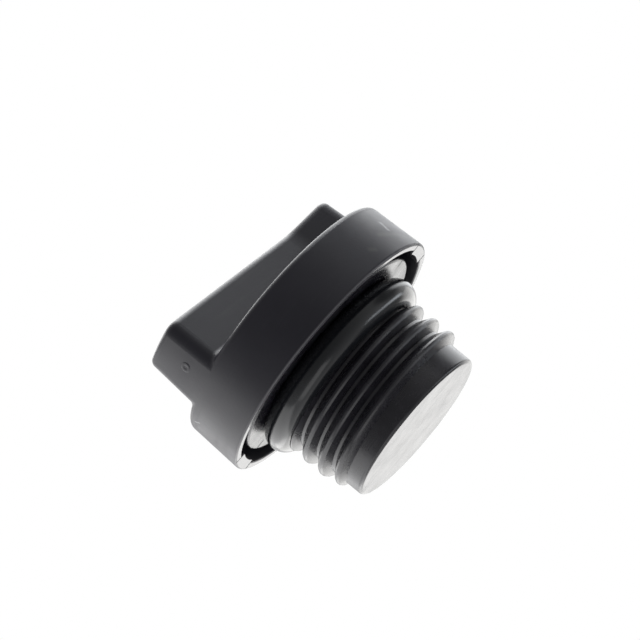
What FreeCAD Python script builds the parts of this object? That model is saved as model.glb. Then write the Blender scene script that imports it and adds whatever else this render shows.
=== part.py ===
import FreeCAD, Part
import math
import os

# Screw-in filler cap, in millimetres.
# The flat closed end rests on z = 0, the axis is Z, and the bar grip runs along X.

# Threaded plug: a closed cup with a plain end, a shoulder and a collar above it
core_radius = 14.85
plug_wall = 2.5
end_edge_round = 0.65
shoulder_height = 20.2
shoulder_edge_round = 0.5
collar_wall = 2.0
collar_gap = 2.4

# Coarse right-hand thread on the plug
thread_pitch = 3.5
thread_depth = 1.72
thread_crest_width = 0.8
thread_crest_chamfer = 0.22
thread_lower_flank_angle = 28.0
thread_upper_flank_angle = 36.0
thread_start_height = 3.8
thread_start_angle = 92.6
thread_run_in_angle = 95.0
thread_start_share = 0.04
thread_sink = 0.3
thread_sections_per_turn = 36

# Sealing ring: flat bore on the neck, half-round outside, flat top against the shoulder
ring_section_radius = 2.85
ring_flat_width = 0.8

# Skirt and top plate of the grip head, with two thicker pads inside the rim, half a turn apart
skirt_radius = 25.0
skirt_height = 11.3
skirt_wall = 1.6
skirt_draft_angle = 2.5
rim_drop = 0.7
rim_outer_round = 0.45
rim_inner_round = 0.25
pad_thickness = 0.7
pad_width_angle = 22.0
pad_middle_angle = 135.0
plate_thickness = 2.5
plate_edge_round = 1.0

# Bar grip on the plate: straight sides, each of which flares out at one end as a finger rest
grip_height = 10.2
grip_wall = 2.5
grip_width = 9.5
grip_flare_start = 13.0
grip_flare_angle = 20.5
grip_flare_round = 8.0
grip_side_draft_angle = 3.0
grip_end_inset = 0.01
grip_corner_round = 2.4
grip_top_round = 1.3
grip_foot_round = 1.2

# Heights and radii that follow from the sizes above
ring_bottom = shoulder_height - 2 * ring_section_radius
rim_height = shoulder_height - rim_drop
plate_height = rim_height + skirt_height
plate_underside = plate_height - plate_thickness
grip_top = plate_height + grip_height
skirt_bore = skirt_radius - skirt_wall
collar_radius = skirt_bore - collar_gap
collar_bore = collar_radius - collar_wall

full_turn = 360.0
half_turn = 180.0
tolerance = 1e-3
z_axis = FreeCAD.Vector(0, 0, 1)
origin = FreeCAD.Vector(0, 0, 0)


def slope_of(angle):
    return math.tan(math.radians(angle))


# The skirt narrows upwards for release from the mould, and the grip's ends carry its wall on
def skirt_radius_at(height):
    return skirt_radius - slope_of(skirt_draft_angle) * (height - rim_height)


def grip_end_radius_at(height):
    return skirt_radius_at(height) - grip_end_inset


# Point of a section that is turned about the axis
def section_point(radius, height):
    return FreeCAD.Vector(radius, 0, height)


def turned_solid(section, angle=full_turn):
    points = [section_point(radius, height) for radius, height in section]
    face = Part.Face(Part.makePolygon(points + points[:1]))
    return face.revolve(origin, z_axis, angle)


def round_rim(solid, radius, height, rounding):
    edges = []
    for edge in solid.Edges:
        if not isinstance(edge.Curve, Part.Circle):
            continue
        same_radius = abs(edge.Curve.Radius - radius) < tolerance
        same_height = abs(edge.Curve.Center.z - height) < tolerance
        if same_radius and same_height:
            edges.append(edge)
    return solid.makeFillet(rounding, edges)


# Section of the thread ridge at one angle; it grows from almost nothing over the run-in
def thread_section(turned_angle):
    run_in = min(1.0, turned_angle / thread_run_in_angle)
    share = max(thread_start_share, math.sin(math.radians(90.0 * run_in)))
    depth = thread_depth * share
    chamfer = thread_crest_chamfer * share
    crest = core_radius + depth
    root = core_radius - thread_sink
    lower_slope = slope_of(thread_lower_flank_angle)
    upper_slope = slope_of(thread_upper_flank_angle)
    middle = thread_start_height + thread_pitch * turned_angle / full_turn
    lower_corner = middle - 0.5 * thread_crest_width * share
    upper_corner = middle + 0.5 * thread_crest_width * share
    section = [
        (root, lower_corner - lower_slope * (crest - root)),
        (crest - chamfer, lower_corner - lower_slope * chamfer),
        (crest, lower_corner + chamfer),
        (crest, upper_corner - chamfer),
        (crest - chamfer, upper_corner + upper_slope * chamfer),
        (root, upper_corner + upper_slope * (crest - root)),
    ]
    turn = FreeCAD.Rotation(z_axis, thread_start_angle + turned_angle)
    points = [turn.multVec(section_point(radius, height)) for radius, height in section]
    return Part.makePolygon(points + points[:1])


# The ridge climbs until it has passed wholly above the ring's lower face, which cuts it off
def make_thread():
    lower_side = 0.5 * thread_crest_width + slope_of(thread_lower_flank_angle) * (thread_depth + thread_sink)
    turns = (ring_bottom + lower_side - thread_start_height) / thread_pitch
    steps = math.ceil(turns * thread_sections_per_turn)
    step_angle = full_turn / thread_sections_per_turn
    ridge = Part.makeLoft([thread_section(step_angle * k) for k in range(steps + 1)], True)
    room = Part.makeCylinder(core_radius + 2 * thread_depth, ring_bottom)
    return ridge.common(room)


def make_threaded_plug():
    bore = core_radius - plug_wall
    floor = shoulder_height + plug_wall
    section = [
        (0, 0),
        (core_radius, 0),
        (core_radius, shoulder_height),
        (collar_radius, shoulder_height),
        (collar_radius, plate_underside),
        (collar_bore, plate_underside),
        (collar_bore, floor),
        (bore, floor),
        (bore, plug_wall),
        (0, plug_wall),
    ]
    cup = turned_solid(section)
    cup = round_rim(cup, core_radius, 0, end_edge_round)
    cup = round_rim(cup, collar_radius, shoulder_height, shoulder_edge_round)
    return cup.fuse(make_thread())


def make_sealing_ring():
    flat_radius = core_radius + ring_flat_width
    corners = [
        section_point(flat_radius, ring_bottom),
        section_point(core_radius, ring_bottom),
        section_point(core_radius, shoulder_height),
        section_point(flat_radius, shoulder_height),
    ]
    bulge = section_point(flat_radius + ring_section_radius, ring_bottom + ring_section_radius)
    half_round = Part.Arc(corners[-1], bulge, corners[0]).toShape()
    section = Part.Wire(Part.makePolygon(corners).Edges + [half_round])
    return Part.Face(section).revolve(origin, z_axis, full_turn)


# Closed wire through corners given as x, y and rounding radius
def rounded_wire(corners, height):
    points = [FreeCAD.Vector(x, y, height) for x, y, rounding in corners]
    edges = []
    starts = []
    ends = []
    for k, (x, y, rounding) in enumerate(corners):
        corner = points[k]
        back = (points[k - 1] - corner).normalize()
        ahead = (points[(k + 1) % len(points)] - corner).normalize()
        half_angle = 0.5 * back.getAngle(ahead)
        reach = rounding / math.tan(half_angle)
        starts.append(corner + back * reach)
        ends.append(corner + ahead * reach)
        if rounding > 0:
            inward = (back + ahead).normalize()
            middle = corner + inward * (rounding / math.sin(half_angle) - rounding)
            edges.append(Part.Arc(starts[k], middle, ends[k]).toShape())
    for k in range(len(points)):
        edges.append(Part.LineSegment(ends[k - 1], starts[k]).toShape())
    return Part.Wire(Part.__sortEdges__(edges))


# Plan of the bar at one height, the same after half a turn, drawn past the round ends that cut it
def grip_plan(height, side_wall):
    inset = side_wall + slope_of(grip_side_draft_angle) * (height - plate_height)
    side = 0.5 * grip_width - inset
    bend = grip_flare_start + slope_of(0.5 * grip_flare_angle) * inset
    flare = slope_of(grip_flare_angle) * (skirt_radius - bend)
    front = [
        (-skirt_radius, -side, 0),
        (bend, -side, grip_flare_round),
        (skirt_radius, -side - flare, 0),
    ]
    back = [(-x, -y, rounding) for x, y, rounding in front]
    return rounded_wire(front + back, height)


# Bar with drafted sides between two heights
def grip_sides(bottom, top, side_wall):
    return Part.makeLoft([grip_plan(bottom, side_wall), grip_plan(top, side_wall)], True, True)


# Upright edges where the sides of the bar meet its round ends
def grip_corner_edges(bar):
    edges = []
    for edge in bar.Edges:
        gaps = [math.hypot(v.X, v.Y) - grip_end_radius_at(v.Z) for v in edge.Vertexes]
        if edge.BoundBox.ZLength > grip_height and max(map(abs, gaps)) < tolerance:
            edges.append(edge)
    return edges


# Edges that lie flat at one height and stay within a reach to either side of the bar
def level_edges(solid, height, reach):
    edges = []
    for edge in solid.Edges:
        box = edge.BoundBox
        off_level = max(abs(box.ZMin - height), abs(box.ZMax - height))
        if off_level < tolerance and max(-box.YMin, box.YMax) < reach + tolerance:
            edges.append(edge)
    return edges


def make_grip():
    height = grip_top - plate_underside
    base = section_point(0, plate_underside)
    bottom_radius = grip_end_radius_at(plate_underside)
    round_ends = Part.makeCone(bottom_radius, grip_end_radius_at(grip_top), height, base)
    bar = grip_sides(plate_underside, grip_top, 0).common(round_ends)
    bar = bar.makeFillet(grip_corner_round, grip_corner_edges(bar))
    return bar.makeFillet(grip_top_round, level_edges(bar, grip_top, skirt_radius))


# Core of the hollow grip, open at the plate's underside and ending at the collar's bore
def make_grip_hollow():
    height = plate_thickness + grip_height - grip_wall
    base = section_point(0, plate_underside)
    round_ends = Part.makeCylinder(collar_bore, height, base)
    return grip_sides(plate_underside, plate_underside + height, grip_wall).common(round_ends)


# Pads that thicken the skirt inwards, each sunk into its wall
def make_rim_pads():
    face_radius = skirt_bore - pad_thickness
    back_radius = skirt_bore + 0.5 * skirt_wall
    section = [
        (face_radius, rim_height),
        (back_radius, rim_height),
        (back_radius, plate_underside),
        (face_radius, plate_underside),
    ]
    pads = []
    for middle_angle in (pad_middle_angle, pad_middle_angle + half_turn):
        pad = turned_solid(section, pad_width_angle)
        pad.rotate(origin, z_axis, middle_angle - 0.5 * pad_width_angle)
        pads.append(pad)
    return pads


def make_grip_head():
    plate_radius = skirt_radius_at(plate_height)
    section = [
        (0, plate_underside),
        (skirt_radius_at(plate_underside) - skirt_wall, plate_underside),
        (skirt_bore, rim_height),
        (skirt_radius, rim_height),
        (plate_radius, plate_height),
        (0, plate_height),
    ]
    cover = turned_solid(section)
    cover = round_rim(cover, plate_radius, plate_height, plate_edge_round)
    cover = round_rim(cover, skirt_radius, rim_height, rim_outer_round)
    cover = round_rim(cover, skirt_bore, rim_height, rim_inner_round)
    head = cover.fuse(make_rim_pads() + [make_grip()]).removeSplitter()
    foot_edges = level_edges(head, plate_height, grip_width)
    head = head.makeFillet(grip_foot_round, foot_edges)
    return head.cut(make_grip_hollow())


pieces = {
    "grip_head": make_grip_head(),
    "threaded_plug": make_threaded_plug(),
    "sealing_ring": make_sealing_ring(),
}

os.makedirs("parts", exist_ok=True)
for name, shape in pieces.items():
    solid = shape.removeSplitter().Solids[0]
    solid.exportStep("parts/" + name + ".step")
    print(name, "valid", solid.isValid(), "volume", round(solid.Volume, 1), "mm3")
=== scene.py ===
import math

import bmesh
import bpy
from mathutils import Matrix, Quaternion, Vector


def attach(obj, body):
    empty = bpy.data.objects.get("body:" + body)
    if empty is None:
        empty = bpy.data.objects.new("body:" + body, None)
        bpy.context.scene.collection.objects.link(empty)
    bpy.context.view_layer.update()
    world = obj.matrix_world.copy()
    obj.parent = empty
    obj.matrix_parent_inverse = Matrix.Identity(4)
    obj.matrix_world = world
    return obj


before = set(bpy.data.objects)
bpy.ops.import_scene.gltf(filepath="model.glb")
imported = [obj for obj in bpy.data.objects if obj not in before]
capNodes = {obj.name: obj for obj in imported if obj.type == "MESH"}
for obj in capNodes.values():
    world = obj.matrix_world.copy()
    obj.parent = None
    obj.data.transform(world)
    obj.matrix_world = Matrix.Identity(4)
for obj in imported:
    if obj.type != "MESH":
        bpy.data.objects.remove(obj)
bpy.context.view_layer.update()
scene = bpy.context.scene
millimetre = 0.001
print("loaded", sorted(capNodes))

# camera: lens axis below the closed end, rolled so that the grip points up and left
viewSettings = {
    "aim": Vector((0, 0, 0.020)),
    "turn": math.radians(-46.871),
    "rise": math.radians(-11.714),
    "roll": math.radians(50.467),
    "distance": 0.77617,
    "slideRight": -0.001592,  # moves the whole camera, so that no lens shift is needed
    "slideUp": 0.006175,
    "lens": 253.125,
    "sensor": 36,
    "clipStart": 0.01,
    "clipEnd": 50,
}


def directionOf(turn, rise):
    reach = math.cos(rise)
    return Vector((math.sin(turn) * reach, -math.cos(turn) * reach, math.sin(rise)))


def makeCamera(settings):
    back = directionOf(settings["turn"], settings["rise"])
    level = Vector((0, 0, 1)).cross(back).normalized()
    upright = back.cross(level)
    right = math.cos(settings["roll"]) * level - math.sin(settings["roll"]) * upright
    up = math.sin(settings["roll"]) * level + math.cos(settings["roll"]) * upright
    place = settings["aim"] + back * settings["distance"]
    place += right * settings["slideRight"] + up * settings["slideUp"]
    data = bpy.data.cameras.new("photoView")
    data.lens = settings["lens"]
    data.sensor_width = settings["sensor"]
    data.clip_start = settings["clipStart"]
    data.clip_end = settings["clipEnd"]
    camera = bpy.data.objects.new("photoView", data)
    turned = Matrix((right, up, back)).transposed().to_4x4()
    camera.matrix_world = Matrix.Translation(place) @ turned
    scene.collection.objects.link(camera)
    scene.camera = camera


makeCamera(viewSettings)
scene.view_settings.view_transform = "Standard"
print("camera placed")


# small helpers for node trees; inputs go by name or by number
def addNode(tree, kind, settings=None, inputs=None):
    node = tree.nodes.new(kind)
    for name, value in (settings or {}).items():
        setattr(node, name, value)
    for socket, value in (inputs or {}).items():
        node.inputs[socket].default_value = value
    return node


def joinNodes(tree, source, sourceSocket, target, targetSocket):
    tree.links.new(source.outputs[sourceSocket], target.inputs[targetSocket])


def addRange(tree, source, target=(0, 1), smooth=False):
    kind = "SMOOTHSTEP" if smooth else "LINEAR"
    inputs = {"From Min": source[0], "From Max": source[1], "To Min": target[0], "To Max": target[1]}
    return addNode(tree, "ShaderNodeMapRange", {"interpolation_type": kind}, inputs)


# two outputs, each given as node and socket, joined by one operation
def combine(tree, operation, first, second):
    node = addNode(tree, "ShaderNodeMath", {"operation": operation})
    joinNodes(tree, *first, node, 0)
    joinNodes(tree, *second, node, 1)
    return node, "Value"


# studio: white all round, darker on the camera's side and in two corners, with soft boxes
# at the sides, behind, above and below
studioSettings = {
    "boxDistance": 0.6,
    "boxes": {  # turn from the camera's side, rise and roll in degrees, width, height, radiance
        "leftSoftBox": (-113, -1, 0, 1.00, 0.90, 1.35),
        "rightSoftBox": (138, 26, 0, 0.60, 0.55, 1.40),
        "lowSoftBox": (180, -16, 0, 1.00, 0.30, 1.30),
        "underFill": (-38, -46, 0, 0.50, 0.26, 1.00),
        "topSoftBox": (160, 54, 0, 0.90, 0.50, 2.20),
        "sideSoftBox": (92, 38, 0, 0.50, 0.36, 0.80),
        "lowStrip": (112, -39.5, 40, 0.58, 0.10, 3.30),
    },
    "tints": {  # the boxes on the right are a little cooler, the low one behind is a little warmer
        "rightSoftBox": (0.94, 0.97, 1),
        "sideSoftBox": (0.88, 0.94, 1),
        "lowStrip": (0.88, 0.94, 1),
        "lowSoftBox": (1, 0.99, 0.965),
    },
    "white": (1, 1, 1),
    "facingSpan": (-0.5, 1),  # how far a direction points to the camera's side, back to front
    "levels": (1.0, 0.20),  # at the back and at the front
    "dimCorners": [  # turn and rise, angles from there to full light and to full shade, level
        (102, -3, 30, 14, 0.20),
        (140, -48, 42, 18, 0.25),
    ],
}


# direction in degrees from the camera's side and above the level
def studioDirection(turn, rise):
    return directionOf(viewSettings["turn"] + math.radians(turn), math.radians(rise))


def makeSoftBoxes(settings):
    for name, (turn, rise, roll, width, height, radiance) in settings["boxes"].items():
        data = bpy.data.lights.new(name, "AREA")
        data.shape = "RECTANGLE"
        data.size = width
        data.size_y = height
        data.energy = radiance * math.pi * width * height
        data.color = settings["tints"].get(name, settings["white"])
        box = bpy.data.objects.new(name, data)
        toward = studioDirection(turn, rise)
        rolled = Quaternion((0, 0, 1), math.radians(roll))
        box.location = viewSettings["aim"] + toward * settings["boxDistance"]
        box.rotation_mode = "QUATERNION"
        box.rotation_quaternion = (-toward).to_track_quat("-Z", "Y") @ rolled
        box.visible_camera = False
        scene.collection.objects.link(box)


# how far each direction of the world points the given way
def addNearness(tree, coords, toward):
    node = addNode(tree, "ShaderNodeVectorMath", {"operation": "DOT_PRODUCT"}, {1: toward})
    joinNodes(tree, coords, "Generated", node, 0)
    return node


def makeWorld(settings):
    world = bpy.data.worlds.new("whiteStudio")
    scene.world = world
    world.use_nodes = True
    tree = world.node_tree
    tree.nodes.clear()
    output = addNode(tree, "ShaderNodeOutputWorld")
    white = {"Color": (*settings["white"], 1), "Strength": 1.0}
    surround = addNode(tree, "ShaderNodeBackground", inputs=white)
    backdrop = addNode(tree, "ShaderNodeBackground", inputs=white)
    pick = addNode(tree, "ShaderNodeMixShader")
    light = addNode(tree, "ShaderNodeLightPath")
    coords = addNode(tree, "ShaderNodeTexCoord")
    facing = addNearness(tree, coords, studioDirection(0, 0))
    level = addRange(tree, settings["facingSpan"], settings["levels"])
    joinNodes(tree, facing, "Value", level, "Value")
    strength = level, "Result"
    for turn, rise, lightAngle, shadeAngle, shade in settings["dimCorners"]:
        nearness = addNearness(tree, coords, studioDirection(turn, rise))
        span = [math.cos(math.radians(angle)) for angle in (lightAngle, shadeAngle)]
        dim = addRange(tree, span, (1, shade), smooth=True)
        joinNodes(tree, nearness, "Value", dim, "Value")
        strength = combine(tree, "MULTIPLY", strength, (dim, "Result"))
    joinNodes(tree, *strength, surround, "Strength")
    seen = combine(tree, "MAXIMUM", (light, "Is Camera Ray"), (light, "Is Transmission Ray"))
    joinNodes(tree, *seen, pick, "Fac")
    joinNodes(tree, surround, "Background", pick, 1)
    joinNodes(tree, backdrop, "Background", pick, 2)
    joinNodes(tree, pick, "Shader", output, "Surface")


# floor: a pale sheet that is seen from above, with the object's shadow,
# and lets light through from below
floorSettings = {
    "radius": 1.6,
    "drop": 0.0003,
    "segments": 96,
    "fadeRadii": (0.16, 0.5),  # from the shaded sheet to plain white
    "tint": (0.86, 0.86, 0.86, 1),
}


def makeFloorMaterial(settings):
    material = bpy.data.materials.new("paleSheet")
    material.use_nodes = True
    tree = material.node_tree
    tree.nodes.clear()
    output = addNode(tree, "ShaderNodeOutputMaterial")
    sheet = addNode(tree, "ShaderNodeBsdfDiffuse", inputs={"Color": settings["tint"]})
    glow = addNode(tree, "ShaderNodeEmission", inputs={"Strength": 1.0})
    clear = addNode(tree, "ShaderNodeBsdfTransparent")
    coords = addNode(tree, "ShaderNodeTexCoord")
    distance = addNode(tree, "ShaderNodeVectorMath", {"operation": "LENGTH"})
    fade = addRange(tree, settings["fadeRadii"], smooth=True)
    fading = addNode(tree, "ShaderNodeMixShader")
    light = addNode(tree, "ShaderNodeLightPath")
    sideSeen = addNode(tree, "ShaderNodeNewGeometry")
    fromAbove = addNode(tree, "ShaderNodeMath", {"operation": "SUBTRACT", "use_clamp": True})
    showing = addNode(tree, "ShaderNodeMixShader")
    joinNodes(tree, coords, "Object", distance, 0)
    joinNodes(tree, distance, "Value", fade, "Value")
    joinNodes(tree, fade, "Result", fading, "Fac")
    joinNodes(tree, sheet, "BSDF", fading, 1)
    joinNodes(tree, glow, "Emission", fading, 2)
    joinNodes(tree, light, "Is Camera Ray", fromAbove, 0)
    joinNodes(tree, sideSeen, "Backfacing", fromAbove, 1)
    joinNodes(tree, fromAbove, "Value", showing, "Fac")
    joinNodes(tree, clear, "BSDF", showing, 1)
    joinNodes(tree, fading, "Shader", showing, 2)
    joinNodes(tree, showing, "Shader", output, "Surface")
    return material


def makeFloor(settings):
    sheet = bmesh.new()
    place = Matrix.Translation((0, 0, -settings["drop"]))
    bmesh.ops.create_circle(
        sheet, cap_ends=True, segments=settings["segments"], radius=settings["radius"], matrix=place
    )
    mesh = bpy.data.meshes.new("floor")
    sheet.to_mesh(mesh)
    sheet.free()
    floor = bpy.data.objects.new("floor", mesh)
    mesh.materials.append(makeFloorMaterial(settings))
    scene.collection.objects.link(floor)


makeSoftBoxes(studioSettings)
makeWorld(studioSettings)
makeFloor(floorSettings)
print("studio lit")


# shared groups for the finishes; noise scales are per metre
def newGroup(name, inputs, outputs):
    group = bpy.data.node_groups.new(name, "ShaderNodeTree")
    for socketName, kind in inputs.items():
        group.interface.new_socket(socketName, in_out="INPUT", socket_type="NodeSocket" + kind)
    for socketName in outputs:
        group.interface.new_socket(socketName, in_out="OUTPUT", socket_type="NodeSocketFloat")
    return group, addNode(group, "NodeGroupInput"), addNode(group, "NodeGroupOutput")


# fine mould grain as a height, and slow clouds of gloss and tone
grainSettings = {
    "grain": {"Detail": 3.0, "Roughness": 0.55},
    "cloud": {"Detail": 5.0, "Roughness": 0.6},
    "cloudSpan": (0.32, 0.68),
}


def makeMouldGrain(settings):
    inputs = {"Vector": "Vector", "Grain Scale": "Float", "Cloud Scale": "Float"}
    group, given, result = newGroup("mouldGrain", inputs, ["Height", "Cloud"])
    grain = addNode(group, "ShaderNodeTexNoise", inputs=settings["grain"])
    cloud = addNode(group, "ShaderNodeTexNoise", inputs=settings["cloud"])
    spread = addRange(group, settings["cloudSpan"])
    joinNodes(group, given, "Vector", grain, "Vector")
    joinNodes(group, given, "Grain Scale", grain, "Scale")
    joinNodes(group, given, "Vector", cloud, "Vector")
    joinNodes(group, given, "Cloud Scale", cloud, "Scale")
    joinNodes(group, cloud, "Fac", spread, "Value")
    joinNodes(group, grain, "Fac", result, "Height")
    joinNodes(group, spread, "Result", result, "Cloud")
    return group


# soft stroke between two points of the surface
def makeStroke():
    inputs = {"Vector": "Vector", "Start": "Vector", "End": "Vector", "Width": "Float"}
    group, given, result = newGroup("stroke", inputs, ["Mask"])
    fromStart = addNode(group, "ShaderNodeVectorMath", {"operation": "SUBTRACT"})
    along = addNode(group, "ShaderNodeVectorMath", {"operation": "SUBTRACT"})
    reach = addNode(group, "ShaderNodeVectorMath", {"operation": "DOT_PRODUCT"})
    full = addNode(group, "ShaderNodeVectorMath", {"operation": "DOT_PRODUCT"})
    share = addNode(group, "ShaderNodeMath", {"operation": "DIVIDE", "use_clamp": True})
    nearest = addNode(group, "ShaderNodeVectorMath", {"operation": "SCALE"})
    distance = addNode(group, "ShaderNodeVectorMath", {"operation": "DISTANCE"})
    fade = addRange(group, (0, 1), (1, 0), smooth=True)
    joinNodes(group, given, "Vector", fromStart, 0)
    joinNodes(group, given, "Start", fromStart, 1)
    joinNodes(group, given, "End", along, 0)
    joinNodes(group, given, "Start", along, 1)
    joinNodes(group, fromStart, "Vector", reach, 0)
    joinNodes(group, along, "Vector", reach, 1)
    joinNodes(group, along, "Vector", full, 0)
    joinNodes(group, along, "Vector", full, 1)
    joinNodes(group, reach, "Value", share, 0)
    joinNodes(group, full, "Value", share, 1)
    joinNodes(group, along, "Vector", nearest, 0)
    joinNodes(group, share, "Value", nearest, "Scale")
    joinNodes(group, fromStart, "Vector", distance, 0)
    joinNodes(group, nearest, "Vector", distance, 1)
    joinNodes(group, distance, "Value", fade, "Value")
    joinNodes(group, given, "Width", fade, "From Max")
    joinNodes(group, fade, "Result", result, "Mask")
    return group


# faint level rub lines on upright walls, from hands and from being screwed in
rubLineSettings = {
    "stretch": (0.05, 0.05, 1),
    "lines": {"Detail": 5.0, "Roughness": 0.7},
    "lineSpan": (0.52, 0.72),
    "patches": {"Scale": 120.0, "Detail": 2.0},
    "patchSpan": (0.40, 0.65),
}


def makeRubLines(settings):
    inputs = {"Vector": "Vector", "Scale": "Float", "Share": "Float"}
    group, given, result = newGroup("rubLines", inputs, ["Mask"])
    stretch = addNode(group, "ShaderNodeMapping", inputs={"Scale": settings["stretch"]})
    lines = addNode(group, "ShaderNodeTexNoise", inputs=settings["lines"])
    patches = addNode(group, "ShaderNodeTexNoise", inputs=settings["patches"])
    thin = addRange(group, settings["lineSpan"])
    local = addRange(group, settings["patchSpan"])
    joinNodes(group, given, "Vector", stretch, "Vector")
    joinNodes(group, stretch, "Vector", lines, "Vector")
    joinNodes(group, given, "Scale", lines, "Scale")
    joinNodes(group, given, "Vector", patches, "Vector")
    joinNodes(group, lines, "Fac", thin, "Value")
    joinNodes(group, patches, "Fac", local, "Value")
    both = combine(group, "MULTIPLY", (thin, "Result"), (local, "Result"))
    shared = combine(group, "MULTIPLY", both, (given, "Share"))
    joinNodes(group, *shared, result, "Mask")
    return group


finishGroups = {
    "mouldGrain": makeMouldGrain(grainSettings),
    "stroke": makeStroke(),
    "rubLines": makeRubLines(rubLineSettings),
}


def addGroup(tree, name, coords, inputs):
    node = addNode(tree, "ShaderNodeGroup", {"node_tree": finishGroups[name]}, inputs)
    joinNodes(tree, coords, "Object", node, "Vector")
    return node


# mask over several strokes, given by start, end and width in millimetres
def addStrokes(tree, coords, strokes):
    mask = None
    for begin, end, width in strokes:
        inputs = {
            "Start": Vector(begin) * millimetre,
            "End": Vector(end) * millimetre,
            "Width": width * millimetre,
        }
        stroke = addGroup(tree, "stroke", coords, inputs), "Mask"
        mask = combine(tree, "MAXIMUM", mask, stroke) if mask else stroke
    return mask


# mask with softer edges and upright streaks
streakSettings = {
    "stretch": (1, 1, 0.25),
    "detail": 3.0,
    "span": (0.10, 0.65),
    "softness": 2.5,
}


def roughen(tree, coords, mask, scale, settings):
    stretch = addNode(tree, "ShaderNodeMapping", inputs={"Scale": settings["stretch"]})
    noise = addNode(tree, "ShaderNodeTexNoise", inputs={"Scale": scale, "Detail": settings["detail"]})
    bite = addRange(tree, settings["span"])
    soft = addNode(tree, "ShaderNodeMath", {"operation": "POWER"}, {1: settings["softness"]})
    joinNodes(tree, coords, "Object", stretch, "Vector")
    joinNodes(tree, stretch, "Vector", noise, "Vector")
    joinNodes(tree, noise, "Fac", bite, "Value")
    joinNodes(tree, *mask, soft, 0)
    return combine(tree, "MULTIPLY", (soft, "Value"), (bite, "Result"))


# sockets of the Mix node by number, because those for values and colours share their names
mixShare = 0
valueBase, valueOver, valueMixed = 2, 3, 0
colourBase, colourOver, colourMixed = 6, 7, 2


# one colour over another by a mask
def layColour(tree, base, colour, mask, amount=1):
    share = addNode(tree, "ShaderNodeMath", {"operation": "MULTIPLY"}, {1: amount})
    mix = addNode(tree, "ShaderNodeMix", {"data_type": "RGBA"}, {colourOver: colour})
    joinNodes(tree, *mask, share, 0)
    joinNodes(tree, share, "Value", mix, mixShare)
    joinNodes(tree, *base, mix, colourBase)
    return mix, colourMixed


# value that moves towards another one by a mask
def layValue(tree, base, value, mask):
    mix = addNode(tree, "ShaderNodeMix", {"data_type": "FLOAT"}, {valueOver: value})
    joinNodes(tree, *mask, mix, mixShare)
    joinNodes(tree, *base, mix, valueBase)
    return mix, valueMixed


# mask by height in millimetres: 1 below low, 0 above high
def lowerThan(tree, coords, low, high):
    place = addNode(tree, "ShaderNodeSeparateXYZ")
    mask = addRange(tree, (low * millimetre, high * millimetre), (1, 0), smooth=True)
    joinNodes(tree, coords, "Object", place, "Vector")
    joinNodes(tree, place, "Z", mask, "Value")
    return mask, "Result"


# moulded finish: two tones and two gloss levels in clouds, with fine grain
def startFinish(name, settings):
    material = bpy.data.materials.new(name)
    material.use_nodes = True
    tree = material.node_tree
    coords = addNode(tree, "ShaderNodeTexCoord")
    scales = {"Grain Scale": settings["grainScale"], "Cloud Scale": settings["cloudScale"]}
    grain = addGroup(tree, "mouldGrain", coords, scales)
    tones = {colourBase: settings["darkTone"], colourOver: settings["paleTone"]}
    tone = addNode(tree, "ShaderNodeMix", {"data_type": "RGBA"}, tones)
    gloss = addRange(tree, (0, 1), settings["roughness"])
    relief = {"Strength": 1.0, "Distance": settings["grainHeight"] * millimetre}
    bump = addNode(tree, "ShaderNodeBump", inputs=relief)
    joinNodes(tree, grain, "Cloud", tone, mixShare)
    joinNodes(tree, grain, "Cloud", gloss, "Value")
    joinNodes(tree, grain, "Height", bump, "Height")
    return material, tree, coords, (tone, colourMixed), (gloss, "Result"), bump


def endFinish(tree, colour, roughness, bump):
    shader = tree.nodes["Principled BSDF"]
    joinNodes(tree, *colour, shader, "Base Color")
    joinNodes(tree, *roughness, shader, "Roughness")
    joinNodes(tree, bump, "Normal", shader, "Normal")


# groove by a mask, on top of the relief so far
def addGroove(tree, bump, mask, depth):
    relief = {"Strength": 1.0, "Distance": depth * millimetre}
    groove = addNode(tree, "ShaderNodeBump", {"invert": True}, relief)
    joinNodes(tree, *mask, groove, "Height")
    joinNodes(tree, bump, "Normal", groove, "Normal")
    return groove


def addRubs(tree, coords, settings):
    inputs = {"Scale": settings["rubScale"], "Share": settings["rubShare"]}
    return addGroup(tree, "rubLines", coords, inputs), "Mask"


def roundAbout(radius, angle, height):
    turn = math.radians(angle)
    return radius * math.cos(turn), radius * math.sin(turn), height


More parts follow.
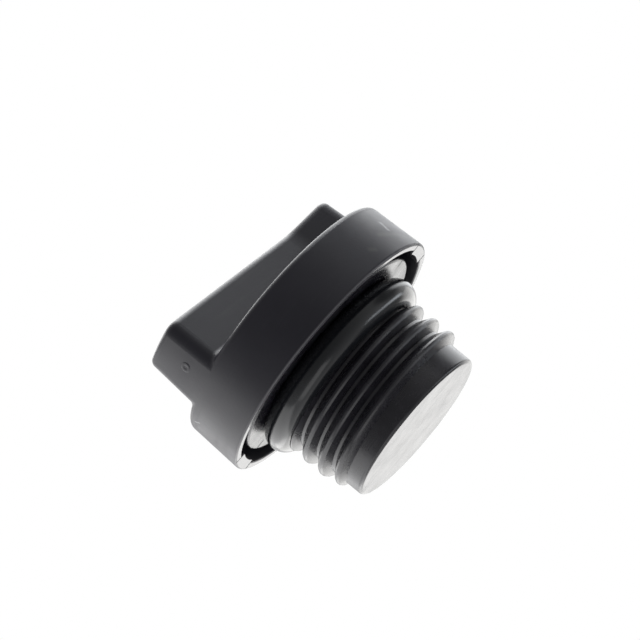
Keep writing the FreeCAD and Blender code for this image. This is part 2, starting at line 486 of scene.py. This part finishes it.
# head: satin black, glossier on the rim's lower face, with a pale painted highlight along the rim's
# lower edge and face, with a few light scuffs, faint smears and a thin line at each end of the pads
headSettings = {
    "darkTone": (0.0104, 0.0097, 0.0165, 1),
    "paleTone": (0.0128, 0.0119, 0.0195, 1),
    "roughness": (0.36, 0.46),
    "grainScale": 2200,
    "grainHeight": 0.010,  # heights, depths and places in millimetres
    "cloudScale": 110,
    "rimTop": (19.505, 19.56),
    "rimRoughness": 0.20,
    # painted highlight: the height below which the rim's lower edge and face are made paler, and the
    # pale colour used
    "paintedHighlightTop": (19.54, 19.90),
    "paintedHighlightColour": (0.080, 0.078, 0.086, 1),
    "scuffs": [
        ((9.50, -22.82, 26.0), (9.10, -23.05, 24.4), 1.10),
        ((-21.68, 11.58, 29.09), (-22.13, 10.78, 28.32), 0.45),
        ((-20.7, -14.03, 19.35), (-20.5, -14.3, 19.30), 0.20),
    ],
    "scuffColour": (0.34, 0.34, 0.35, 1),
    "scuffAmount": 0.8,
    "scuffScale": 5000,
    "smears": [
        ((10.50, -22.50, 21.90), (13.57, -20.90, 21.30), 1.40),
        ((5.35, -24.21, 24.18), (10.55, -22.53, 22.34), 0.90),
        ((0.28, -24.85, 22.88), (1.09, -24.85, 22.34), 0.80),
    ],
    "smearColour": (0.030, 0.030, 0.032, 1),
    "rubScale": 1000,
    "rubShare": 0.9,
    "rubColour": (0.042, 0.042, 0.046, 1),
    "rubAmount": 0.35,
    "rubRoughness": 0.52,
    "padLineAngles": (124, 146, -56, -34),
    "padLineRadii": (22.7, 24.7),
    "padLineHeight": 19.5,
    "padLineWidth": 0.30,
    "lineRoughness": 0.75,
    "lineDepth": 0.12,
}


def makeHeadFinish(settings):
    material, tree, coords, colour, roughness, bump = startFinish("satinHead", settings)
    rimFace = lowerThan(tree, coords, *settings["rimTop"])
    roughness = layValue(tree, roughness, settings["rimRoughness"], rimFace)
    # painted highlight: a paler colour on the rim's lower edge and face, standing in for the lip's
    # edge highlight
    paintedHighlight = lowerThan(tree, coords, *settings["paintedHighlightTop"])
    colour = layColour(tree, colour, settings["paintedHighlightColour"], paintedHighlight)
    scuffs = addStrokes(tree, coords, settings["scuffs"])
    scuffs = roughen(tree, coords, scuffs, settings["scuffScale"], streakSettings)
    colour = layColour(tree, colour, settings["scuffColour"], scuffs, settings["scuffAmount"])
    smears = addStrokes(tree, coords, settings["smears"])
    colour = layColour(tree, colour, settings["smearColour"], smears)
    rubs = addRubs(tree, coords, settings)
    colour = layColour(tree, colour, settings["rubColour"], rubs, settings["rubAmount"])
    roughness = layValue(tree, roughness, settings["rubRoughness"], rubs)
    padLines = []
    height = settings["padLineHeight"]
    for angle in settings["padLineAngles"]:
        ends = [roundAbout(radius, angle, height) for radius in settings["padLineRadii"]]
        padLines.append((*ends, settings["padLineWidth"]))
    lines = addStrokes(tree, coords, padLines)
    roughness = layValue(tree, roughness, settings["lineRoughness"], lines)
    bump = addGroove(tree, bump, lines, settings["lineDepth"])
    endFinish(tree, colour, roughness, bump)
    return material


# plug: glossier black, slightly uneven and a little smoother on its flat end,
# with a hairline on each side of the shoulder
plugSettings = {
    "darkTone": (0.0100, 0.0095, 0.0132, 1),
    "paleTone": (0.0230, 0.0222, 0.0280, 1),
    "roughness": (0.24, 0.31),
    "grainScale": 2400,
    "grainHeight": 0.012,  # heights, depths and places in millimetres
    "cloudScale": 200,
    "endTop": (0.05, 0.3),
    "endSmoother": 0.03,
    "endWave": {"Scale": 600, "Detail": 3.0},
    "endWaveHeight": 0.020,
    "rubScale": 1900,
    "rubShare": 0.6,
    "rubColour": (0.024, 0.024, 0.027, 1),
    "rubAmount": 0.4,
    "rubRoughness": 0.40,
    "hairlines": [
        ((-11.25, 17.35, 20.2), (-10.15, 16.0, 20.2), 0.28),
        ((11.60, -15.80, 20.2), (12.40, -17.15, 20.2), 0.28),
    ],
    "lineRoughness": 0.75,
    "lineDepth": 0.10,
}


def makePlugFinish(settings):
    material, tree, coords, colour, roughness, bump = startFinish("glossPlug", settings)
    endFace = lowerThan(tree, coords, *settings["endTop"])
    lower = {1: -settings["endSmoother"]}
    smoother = addNode(tree, "ShaderNodeMath", {"operation": "MULTIPLY_ADD"}, lower)
    joinNodes(tree, *endFace, smoother, 0)
    joinNodes(tree, *roughness, smoother, 2)
    rubs = layValue(tree, addRubs(tree, coords, settings), 0, endFace)
    colour = layColour(tree, colour, settings["rubColour"], rubs, settings["rubAmount"])
    roughness = layValue(tree, (smoother, "Value"), settings["rubRoughness"], rubs)
    lines = addStrokes(tree, coords, settings["hairlines"])
    roughness = layValue(tree, roughness, settings["lineRoughness"], lines)
    bump = addGroove(tree, bump, lines, settings["lineDepth"])
    wave = addNode(tree, "ShaderNodeTexNoise", inputs=settings["endWave"])
    joinNodes(tree, coords, "Object", wave, "Vector")
    endWave = combine(tree, "MULTIPLY", (wave, "Fac"), endFace)
    bump = addGroove(tree, bump, endWave, settings["endWaveHeight"])
    endFinish(tree, colour, roughness, bump)
    return material


# sealing ring: bluish black rubber with a soft bloom
ringSettings = {
    "darkTone": (0.0100, 0.0108, 0.0130, 1),
    "paleTone": (0.0135, 0.0147, 0.0175, 1),
    "roughness": (0.16, 0.22),
    "grainScale": 2600,
    "grainHeight": 0.004,  # millimetres
    "cloudScale": 240,
}


def makeRingFinish(settings):
    material, tree, coords, colour, roughness, bump = startFinish("sealRubber", settings)
    endFinish(tree, colour, roughness, bump)
    return material


finishes = {
    "grip_head": makeHeadFinish(headSettings),
    "threaded_plug": makePlugFinish(plugSettings),
    "sealing_ring": makeRingFinish(ringSettings),
}
for name, material in finishes.items():
    capNodes[name].data.materials[0] = material
print("finishes set")


# gate mark: a low button with a dimple on the grip's near end
gateSettings = {
    "place": (-24.299, 0.367, 34.329),  # millimetres
    "draft": 2.5,
    "section": [  # radius and height in millimetres
        (0, 0.01),
        (0.20, 0.01),
        (0.34, 0.08),
        (0.70, 0.09),
        (0.88, 0.06),
        (1.02, 0.0),
        (1.05, -0.06),
        (0, -0.06),
    ],
    "segments": 40,
    "mergeDistance": 1e-6,
}


def makeGateMark(settings):
    button = bmesh.new()
    corners = []
    for radius, height in settings["section"]:
        corners.append(button.verts.new((radius * millimetre, 0, height * millimetre)))
    edges = [button.edges.new(pair) for pair in zip(corners, corners[1:])]
    bmesh.ops.spin(
        button, geom=corners + edges, axis=(0, 0, 1), cent=(0, 0, 0),
        angle=2 * math.pi, steps=settings["segments"], use_merge=True,
    )
    bmesh.ops.remove_doubles(button, verts=button.verts, dist=settings["mergeDistance"])
    bmesh.ops.recalc_face_normals(button, faces=button.faces)
    place = Vector(settings["place"]) * millimetre
    outward = Vector((place.x, place.y, 0)).normalized()
    outward.z = math.tan(math.radians(settings["draft"]))
    turned = outward.to_track_quat("Z", "Y").to_matrix().to_4x4()
    bmesh.ops.transform(button, matrix=Matrix.Translation(place) @ turned, verts=button.verts)
    for face in button.faces:
        face.smooth = True
    mesh = bpy.data.meshes.new("gateMark")
    button.to_mesh(mesh)
    button.free()
    mesh.materials.append(finishes["grip_head"])
    mark = bpy.data.objects.new("gateMark", mesh)
    scene.collection.objects.link(mark)
    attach(mark, "root")


makeGateMark(gateSettings)
print("gate mark added")
